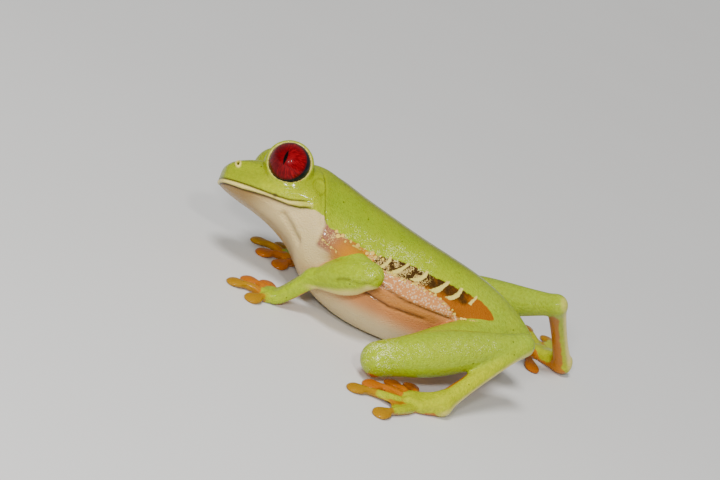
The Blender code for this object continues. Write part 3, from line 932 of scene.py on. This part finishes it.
def granule_rows():
    """Places and radii of the granules along the green's edge, over the armpit and along the band's foot."""
    numbers = np.arange(EDGE_GRANULES)
    x = -5.9 + 0.6 * numbers + 0.12 * np.sin(5.3 * numbers)
    edge = np.interp(x, *GREEN_EDGE) + 0.08 - 0.45 * (numbers % 2) + 0.12 * np.sin(3.1 * numbers)
    yield from zip(x, edge, 0.27 + 0.07 * np.sin(7.7 * numbers))
    numbers = np.arange(ARMPIT_GRANULES)
    x = -7.5 + 0.32 * numbers
    z = 10.2 - 0.3 * numbers**0.5 + 0.12 * np.sin(4.1 * numbers)
    yield from zip(x, z, 0.17 + 0.05 * np.sin(2.3 * numbers))
    numbers = np.arange(BAND_GRANULES)
    x = 2.4 + 0.43 * numbers + 0.15 * np.sin(4.7 * numbers)
    foot = np.interp(x, *GREEN_EDGE) - np.interp(x, *BAND_DEPTH) - 0.05 + 0.22 * np.sin(8.9 * numbers)
    yield from zip(x, np.maximum(foot, 8.3 + 0.25 * (x - 16)), 0.18 + 0.06 * np.sin(2.9 * numbers))


def granules(at):
    """Millimetres inside the nearest granule."""
    made = np.full(len(at.x), -FAR)
    for x, z, radius in granule_rows():
        made = np.maximum(made, radius - np.hypot(at.x - x, at.z - z))
    return made


def limb_painted_glints(points):
    """How thick the painted glints lie on the limbs, most of all by the knees, where the skin glistens."""
    made = np.full(len(points), 0.06)
    for side in SIDES:
        for joint, reach, amount in ((KNEE, 3.4, 1.5), (ELBOW, 4.2, 0.8), (HEEL, 3.0, 0.5)):
            middle = np.array(joint[side]) + (0.0, 0.5 * side, 1.2)
            made = np.maximum(made, amount * bump(np.linalg.norm(points - middle, axis=1), reach))
        ridge = [np.array(joint[side]) + (0, 2 * side, 1.6) for joint in (KNEE, HEEL)]
        distance, along = path_distance(points, ridge)
        made = np.maximum(made, 0.8 * between(along, 0.1, 0.75, 0.1) * bump(distance - 0.4, 1.5))
    return made


def body_glints_and_granules(at):
    """How thick the painted glints and the fine cream granules lie, and the millimetres inside a gold
    granule.
    """
    above = at.above(GREEN_EDGE)
    # Painted glints: pale dots where the granular skin catches the light, on the flank, the cheek, the rim of
    # the neck fold and over the armpit.
    flank = between(at.x, -4.0, 8.0, 3.0) * between(above, -1.8, 1.6, 1.8)
    flank *= (1 + 0.4 * (above < 0)) * (1 - 0.1 * (above > 0.4))
    cheek = 0.6 * between(at.x, -16.5, -11.5, 1.5) * between(at.z, 11.2, 13.2, 1.0)
    cheek += 0.6 * bump(at.off(NECK_FOLD, FOLD_RIM), 0.35)
    armpit = 0.9 * between(at.x, -8.0, -4.2, 0.6) * between(at.z, 8.8, 11.6, 0.6) * (at.body > 0.1)
    fine = between(at.x, 0.5, 16.0, 1.5) * between(at.z, 7.6, 12.0, 0.5) * smoothstep(-above, 0.4, 1.0)
    by_armpit = (at.x < 0) & (at.y < 9.2)
    gold = np.where((at.body > 0.1) | by_armpit, granules(at), -FAR)
    painted_glints = (flank + cheek) * at.body + armpit + (1 - at.body) * limb_painted_glints(at.posed)
    return np.column_stack([painted_glints, gold, fine * at.body])


def skin_mesh():
    """The whole frog's surface, finer on the head, with its relief and the values that place its colours."""
    body, field = frog_fields()
    grid = openvdb.FloatGrid(BAND)
    grid.copyFromArray(field, ijk=GRID_LOW)
    grid.transform = openvdb.createLinearTransform(voxelSize=VOXEL)
    points, quads = grid.convertToQuads(0.0)
    mesh = bpy.data.meshes.new("frog_skin")
    mesh.from_pydata(points.tolist(), [], quads[:, ::-1].tolist())
    refine_head(mesh)
    points = settled(field, vertex_places(mesh))
    off_body = sampled(body, points)
    at = places_of(points, off_body)
    way = slope(field, points)
    way /= np.linalg.norm(way, axis=1)[:, None]
    shown = points + way * relief(at)[:, None]
    shown[:, 2] = np.maximum(shown[:, 2], 0.0)
    mesh.vertices.foreach_set("co", (shown * MM).ravel())
    keep_colours(mesh, at, off_body)
    mesh.update()
    return mesh


def vertex_places(mesh):
    places = np.empty(3 * len(mesh.vertices))
    mesh.vertices.foreach_get("co", places)
    return places.reshape(-1, 3)


def refine_head(mesh):
    """Each face of the head cut into four."""
    places = vertex_places(mesh)
    on_head = straightened(places)[:, 0] < HEAD_END
    built = bmesh.new()
    built.from_mesh(mesh)
    built.verts.ensure_lookup_table()
    edges = [edge for edge in built.edges if on_head[edge.verts[0].index] and on_head[edge.verts[1].index]]
    bmesh.ops.subdivide_edges(built, edges=edges, cuts=1, use_grid_fill=True)
    built.to_mesh(mesh)
    built.free()


def keep(mesh, name, values):
    """Three values for every vertex, kept in the mesh for the material to read."""
    made = mesh.attributes.new(name, "FLOAT_VECTOR", "POINT")
    made.data.foreach_set("vector", np.ascontiguousarray(values, np.float32).ravel())


def keep_colours(mesh, at, off_body):
    marks = body_marks(at)
    body_values = np.column_stack([body_upper(at), body_under(at), marks[:, 0], body_pale(at)])
    values = limb_colours(at.posed, off_body, body_values)
    on_body = at.body[:, None]
    keep(mesh, "upper", values[:, :3])
    keep(mesh, "under", values[:, 3:6])
    keep(mesh, "marks", np.column_stack([values[:, 6], (marks[:, 1:] + FAR) * on_body - FAR]))
    down = -marks[:, 0]
    tone = 0.2 * smoothstep(at.x, 6.0, 12.0) + 0.7 * smoothstep(at.x, 14.5, 17.5)
    tone += 0.8 * smoothstep(down, 1.0, 2.6) * smoothstep(at.x, 4.0, 9.0)
    # How dark the marks and the painted shade in the mouth and creases are, how cream the skin is, and the
    # band's tone.
    keep(mesh, "lines_and_shade", np.column_stack([body_lines_and_shade(at), values[:, 7], np.clip(tone, 0, 1)]))
    # How thick the painted glints lie, the millimetres inside a gold granule and how thick the fine cream
    # granules lie.
    keep(mesh, "glints_and_granules", body_glints_and_granules(at))


# ---- materials


class Shades:
    """One material, with short calls that add its nodes."""

    def __init__(self, name):
        self.material = bpy.data.materials.new(name)
        self.material.use_nodes = True
        self.tree = self.material.node_tree

    def surface(self, **inputs):
        """The material, once its shader's inputs are set."""
        for key, value in inputs.items():
            self.feed(self.tree.nodes["Principled BSDF"].inputs[key.replace("_", " ")], value)
        return self.material

    def add(self, kind, settings=(), **inputs):
        node = self.tree.nodes.new(kind)
        for key, value in dict(settings).items():
            setattr(node, key, value)
        for key, value in inputs.items():
            self.feed(node.inputs[key.replace("_", " ")], value)
        return node

    def feed(self, socket, value):
        if isinstance(value, bpy.types.NodeSocket):
            self.tree.links.new(value, socket)
        else:
            socket.default_value = value

    def sum(self, operation, *values):
        node = self.add("ShaderNodeMath", {"operation": operation})
        for socket, value in zip(node.inputs, values):
            self.feed(socket, value)
        return node.outputs[0]

    def times(self, one, other):
        return self.sum("MULTIPLY", one, other)

    def plus(self, one, other):
        return self.sum("ADD", one, other)

    def less(self, one, other):
        return self.sum("SUBTRACT", one, other)

    def vector(self, operation, *vectors, **inputs):
        node = self.add("ShaderNodeVectorMath", {"operation": operation}, **inputs)
        for socket, value in zip(node.inputs, vectors):
            self.feed(socket, value)
        return node.outputs["Value" if operation == "LENGTH" else "Vector"]

    def ramp(self, value, low, high):
        """0 below one value, 1 above another, and smooth between them."""
        settings = {"interpolation_type": "SMOOTHSTEP"}
        node = self.add("ShaderNodeMapRange", settings, Value=value, From_Min=low, From_Max=high)
        return node.outputs["Result"]

    def mix(self, share, one, other):
        node = self.add("ShaderNodeMix", {"data_type": "RGBA"}, Factor=share)
        for socket, value in zip((node.inputs[6], node.inputs[7]), (one, other)):
            self.feed(socket, value if isinstance(value, bpy.types.NodeSocket) else (*value, 1.0))
        return node.outputs[2]

    def kept(self, name):
        return self.add("ShaderNodeAttribute", {"attribute_name": name}).outputs["Color"]

    def kept_values(self, name):
        return self.add("ShaderNodeSeparateColor", Color=self.kept(name)).outputs[:3]

    def place(self):
        """Places on the piece in millimetres."""
        return self.vector("SCALE", self.add("ShaderNodeTexCoord").outputs["Object"], Scale=1 / MM)

    def noise(self, place, size, detail=2.0):
        return self.add("ShaderNodeTexNoise", Vector=place, Scale=1 / size, Detail=detail).outputs[0]

    def cells(self, place, size):
        """Distance from the middle of irregular cells, where 1 is about the distance between them."""
        return self.add("ShaderNodeTexVoronoi", Vector=place, Scale=1 / size).outputs["Distance"]

    def dots(self, place, size, thickness):
        """Round dots in cells of a size, larger where they lie thicker."""
        return self.ramp(self.less(self.times(thickness, 0.42), self.cells(place, size)), -0.02, 0.08)

    def bump(self, height, depth):
        return self.add("ShaderNodeBump", Height=height, Distance=depth * MM).outputs["Normal"]


BAR_CREAM, GRANULE_CREAM, GRANULE_GOLD = (0.74, 0.6, 0.14), (0.72, 0.52, 0.32), (0.8, 0.54, 0.09)
# The brown of the dark marks also paints the shade in the mouth, folds and creases.
BAND_BROWN, BAND_ORANGE, LINE_AND_SHADE_BROWN = tint(70, 46, 4), tint(174, 108, 0), tint(52, 30, 12)
# The glitter colours are painted glints: pale on the green, gold below it.
LID_CREAM, PAINTED_GLINT_PALE, PAINTED_GLINT_GOLD = (0.86, 0.7, 0.19), (0.78, 0.84, 0.3), (0.72, 0.52, 0.16)
FLECK_DARK = tint(70, 80, 10)
LEAF_DARK, LEAF_LIGHT = tint(120, 140, 8), tint(204, 206, 50)


# Sizes of the skin's patterns and of its painted glints in millimetres.
PORE, PAINTED_GLINT_SPACING, FINE_GRANULE, FLECK_SPACING = 0.24, 0.18, 0.34, 1.9
RAGGED, MOTTLE, GLOSS_PATCH, WANDER, WRINKLING, CLOUD = 0.3, 0.45, 0.6, 0.9, 1.2, 3.5
SKIN_BUMP = 0.12


def under_colour(made, place, wander):
    """The pale and orange skin below the green, with its fine granules and the dark band on the flank."""
    _, _, band = made.kept_values("marks")
    _, _, tone = made.kept_values("lines_and_shade")
    _, _, fine = made.kept_values("glints_and_granules")
    fine_dots = made.dots(place, FINE_GRANULE, fine)
    ground = made.mix(made.times(fine_dots, 0.75), made.kept("under"), GRANULE_CREAM)
    band_tone = made.plus(tone, made.times(wander, 0.9))
    band_colour = made.mix(made.ramp(band_tone, 0.1, 0.9), BAND_BROWN, BAND_ORANGE)
    in_band = made.plus(band, made.times(wander, 1.1))
    return made.mix(made.ramp(in_band, -0.1, 0.15), ground, band_colour)


def leaf_colour(made, place):
    """The green of the back and limbs, mottled, clouded and flecked."""
    mottle = made.times(made.ramp(made.noise(place, MOTTLE, 4.0), 0.3, 0.75), 0.5)
    leaf = made.mix(mottle, made.kept("upper"), LEAF_DARK)
    leaf = made.mix(made.times(made.noise(place, CLOUD), 0.35), leaf, LEAF_LIGHT)
    flecks = made.less(1.0, made.ramp(made.cells(place, FLECK_SPACING), 0.05, 0.09))
    return made.mix(made.times(flecks, 0.7), leaf, FLECK_DARK)


def skin_material():
    made = Shades("frog_skin")
    place = made.place()
    green, bar, _ = made.kept_values("marks")
    dark, pale, _ = made.kept_values("lines_and_shade")
    painted_glints, gold, _ = made.kept_values("glints_and_granules")
    wander = made.less(made.noise(place, WANDER, 3.0), 0.5)
    ragged = made.less(made.noise(place, RAGGED), 0.5)
    in_green = made.plus(green, made.times(wander, 0.6))
    in_bar = made.plus(bar, made.times(ragged, 0.28))
    gold_dots = made.ramp(made.plus(gold, made.times(ragged, 0.1)), -0.02, 0.05)

    colour = under_colour(made, place, wander)
    colour = made.mix(made.ramp(in_green, -0.08, 0.1), colour, leaf_colour(made, place))
    # Painted glints: pale or gold dots where the wet, granular skin catches the light, thickest by the knees.
    painted_glint_patches = made.times(painted_glints, made.ramp(made.noise(place, WANDER, 3.0), 0.28, 0.58))
    painted_glint_colour = made.mix(made.ramp(in_green, -0.3, 0.2), PAINTED_GLINT_GOLD, PAINTED_GLINT_PALE)
    colour = made.mix(made.times(made.dots(place, PAINTED_GLINT_SPACING, painted_glint_patches), 0.8), colour, painted_glint_colour)
    colour = made.mix(made.ramp(in_bar, -0.05, 0.07), colour, BAR_CREAM)
    colour = made.mix(gold_dots, colour, GRANULE_GOLD)
    colour = made.mix(pale, colour, LID_CREAM)
    # Painted shade in the mouth, folds, creases, nostrils and wrinkles, with the lip's dark line.
    colour = made.mix(made.times(dark, 0.9), colour, LINE_AND_SHADE_BROWN)

    height = made.plus(made.times(made.cells(place, PORE), -0.7), made.times(gold_dots, 1.4))
    height = made.plus(height, made.times(made.noise(place, WRINKLING, 3.0), 0.5))
    height = made.plus(height, made.times(made.ramp(in_bar, -0.1, 0.2), 0.8))
    return made.surface(
        Base_Color=colour,
        Normal=made.bump(height, SKIN_BUMP),
        Roughness=made.plus(made.times(made.noise(place, GLOSS_PATCH), 0.3), 0.28),
        Subsurface_Weight=0.12,
        Subsurface_Radius=(1.0, 0.6, 0.2),
        Subsurface_Scale=0.8 * MM,
        Specular_IOR_Level=0.15,
        Specular_Tint=(1.0, 0.95, 0.4, 1.0),
        Coat_Weight=0.35,
        Coat_Roughness=0.12,
    )


# The iris, round the way that the eye looks.
IRIS_REACH = math.radians(65)
PUPIL_HALF_LENGTH, PUPIL_HALF_WIDTH = 1.15, 0.25
CORNEA_RISE, CORNEA_INNER, CORNEA_OUTER = 0.1, 0.2, 0.9
IRIS_RED, IRIS_BRIGHT, IRIS_DARK = (0.16, 0.001, 0.004), (0.38, 0.003, 0.008), (0.03, 0.0005, 0.002)
# The navy is the eyeball's own colour round the iris and also the painted shade along the lids.
NAVY_AND_LID_SHADE, PUPIL_BLACK = (0.004, 0.006, 0.012), (0.002, 0.001, 0.001)
FIBRE, IRIS_CLOUD = 0.22, 0.8  # millimetres


def eye_material():
    made = Shades("frog_eye")
    place = made.place()
    x, y, z = made.add("ShaderNodeSeparateXYZ", Vector=place).outputs
    from_lid, toward_painted_shade, _ = made.kept_values("on_eye")
    flat = made.add("ShaderNodeCombineXYZ", X=x, Y=y).outputs[0]
    rays = made.vector("SCALE", made.vector("NORMALIZE", flat), Scale=3.0)
    depth = made.add("ShaderNodeCombineXYZ", Z=made.times(made.vector("LENGTH", flat), 0.35))
    fibres = made.noise(made.vector("ADD", rays, depth.outputs[0]), FIBRE, 3.0)
    colour = made.mix(made.ramp(fibres, 0.35, 0.7), IRIS_RED, IRIS_BRIGHT)
    colour = made.mix(made.times(made.noise(place, IRIS_CLOUD), 0.6), colour, IRIS_DARK)
    colour = made.mix(made.ramp(z, 1.9, 1.0), colour, IRIS_DARK)
    # Painted shade: the iris darker towards one side, as the light falls on it.
    colour = made.mix(made.times(made.ramp(toward_painted_shade, 1.6, -1.6), 0.55), colour, IRIS_DARK)
    narrow = made.sum("POWER", made.sum("DIVIDE", y, PUPIL_HALF_LENGTH), 2.0)
    half_width = made.times(made.less(1.0, narrow), PUPIL_HALF_WIDTH)
    in_pupil = made.less(half_width, made.sum("ABSOLUTE", x))
    colour = made.mix(made.ramp(in_pupil, -0.04, 0.03), colour, PUPIL_BLACK)
    edge = EYE_RADIUS * math.cos(IRIS_REACH)
    colour = made.mix(made.ramp(z, edge - 0.06, edge + 0.12), NAVY_AND_LID_SHADE, colour)
    # Painted shade: a dark band on the eyeball along the lid's edge.
    colour = made.mix(made.ramp(from_lid, 0.1, 0.4), NAVY_AND_LID_SHADE, colour)
    gloss = {"Coat_Weight": 0.8, "Coat_IOR": 1.2, "Coat_Roughness": 0.02}
    return made.surface(Base_Color=colour, Roughness=0.3, Specular_IOR_Level=0.05, **gloss)


def floor_material():
    made = Shades("floor")
    cloud = made.noise(made.place(), 60.0)
    return made.surface(Base_Color=made.mix(cloud, (0.74, 0.73, 0.71), (0.78, 0.77, 0.75)), Roughness=0.6)


# ---- pieces


def linked(name, data):
    made = bpy.data.objects.new(name, data)
    bpy.context.scene.collection.objects.link(made)
    return made


def placed(name, mesh, material):
    made = linked(name, mesh)
    mesh.materials.append(material)
    mesh.shade_smooth()
    return made


def skin():
    made = placed("frog_skin", skin_mesh(), skin_material())
    flesh = [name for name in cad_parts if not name.startswith("eye")]
    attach(made, "root")
    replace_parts(made, *flesh)


def eye_turn(side):
    """The eye's own axes as columns: across the slit, along it, and the way that the eye looks."""
    centre = by_eye(side)
    looks = unit(by_eye(side, GAZE) - centre)
    slit = by_eye(side, SLIT) - centre
    slit = unit(slit - looks * (slit @ looks))
    return Matrix(np.column_stack([np.cross(slit, looks), slit, looks]).tolist())


def eye(side, name, material):
    """An eyeball whose cornea rises a little over the pupil."""
    built = bmesh.new()
    bmesh.ops.create_uvsphere(built, u_segments=128, v_segments=96, radius=EYE_RADIUS)
    mesh = bpy.data.meshes.new(name)
    built.to_mesh(mesh)
    built.free()
    centre, axis = eye_frame(side)
    turn = eye_turn(side)
    places = vertex_places(mesh)
    tilt = np.arccos(np.clip(places[:, 2] / EYE_RADIUS, -1, 1))
    off_lid = places @ (np.array(turn).T @ axis) - LID_EDGE
    # How far past the lid's edge each point lies, and how far towards the side of the iris's painted shade.
    keep(mesh, "on_eye", np.column_stack([off_lid, -side * places[:, 0], np.zeros(len(places))]))
    places *= (1 + CORNEA_RISE / EYE_RADIUS * fading(tilt, CORNEA_INNER, CORNEA_OUTER))[:, None]
    mesh.vertices.foreach_set("co", (places * MM).ravel())
    made = placed(name, mesh, material)
    made.matrix_world = Matrix.Translation(Vector(centre) * MM) @ turn.to_4x4()
    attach(made, "root")
    return made


# ---- floor, lights and camera


CAMERA_TARGET = Vector((-2.0, 0.0, 11.6))
CAMERA_DISTANCE = 300.0
CAMERA_ELEVATION, CAMERA_AZIMUTH, CAMERA_ROLL = (math.radians(angle) for angle in (18.0, -2.6, 27.0))
CAMERA_LENS = 102.04
FLOOR_REACH = 3.0  # metres


def camera():
    made = linked("camera", bpy.data.cameras.new("camera"))
    flat = math.cos(CAMERA_ELEVATION)
    aside, behind = math.sin(CAMERA_AZIMUTH) * flat, -math.cos(CAMERA_AZIMUTH) * flat
    back = Vector((aside, behind, math.sin(CAMERA_ELEVATION)))
    level = Vector(UP).cross(back).normalized()
    upright = back.cross(level)
    right = level * math.cos(CAMERA_ROLL) + upright * math.sin(CAMERA_ROLL)
    top = upright * math.cos(CAMERA_ROLL) - level * math.sin(CAMERA_ROLL)
    turn = Matrix((right, top, back)).transposed()
    made.matrix_world = Matrix.Translation((CAMERA_TARGET + back * CAMERA_DISTANCE) * MM) @ turn.to_4x4()
    made.data.lens = CAMERA_LENS
    made.data.sensor_width = 36.0
    made.data.clip_start, made.data.clip_end = 0.001, 20.0
    bpy.context.scene.camera = made


def floor():
    mesh = bpy.data.meshes.new("floor")
    corners = [(x * FLOOR_REACH, y * FLOOR_REACH, 0.0) for x, y in ((-1, -1), (1, -1), (1, 1), (-1, 1))]
    mesh.from_pydata(corners, [], [(0, 1, 2, 3)])
    placed("floor", mesh, floor_material())


def lamp(kind, name, place, power):
    """A light that faces the frog from a place in millimetres."""
    made = linked(name, bpy.data.lights.new(name, kind))
    made.data.energy = power
    made.location = Vector(place) * MM
    made.rotation_mode = "QUATERNION"
    made.rotation_quaternion = (Vector(place) - CAMERA_TARGET).to_track_quat("Z", "Y")
    return made


def lights():
    """A sun for the form, and two small lamps that alone make the spots of light in the eye."""
    key = lamp("SUN", "key_light", (-92.0, -190.0, 341.6), 2.5)
    key.data.angle = math.radians(14)
    key.visible_glossy = False
    lamp("AREA", "front_light", (-52, -316, 155), 0.6).data.size = 30 * MM
    lamp("AREA", "side_light", (31, -287, 206), 0.36).data.size = 23 * MM
    world = bpy.data.worlds.new("studio")
    bpy.context.scene.world = world
    world.use_nodes = True
    world.node_tree.nodes["Background"].inputs["Color"].default_value = (1.0, 1.0, 1.0, 1.0)
    world.node_tree.nodes["Background"].inputs["Strength"].default_value = 0.26


def main():
    skin()
    eyes = eye_material()
    for side, name in ((LEFT, "eye_left"), (RIGHT, "eye_right")):
        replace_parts(eye(side, f"{name}_ball", eyes), name)
    floor()
    lights()
    camera()


main()
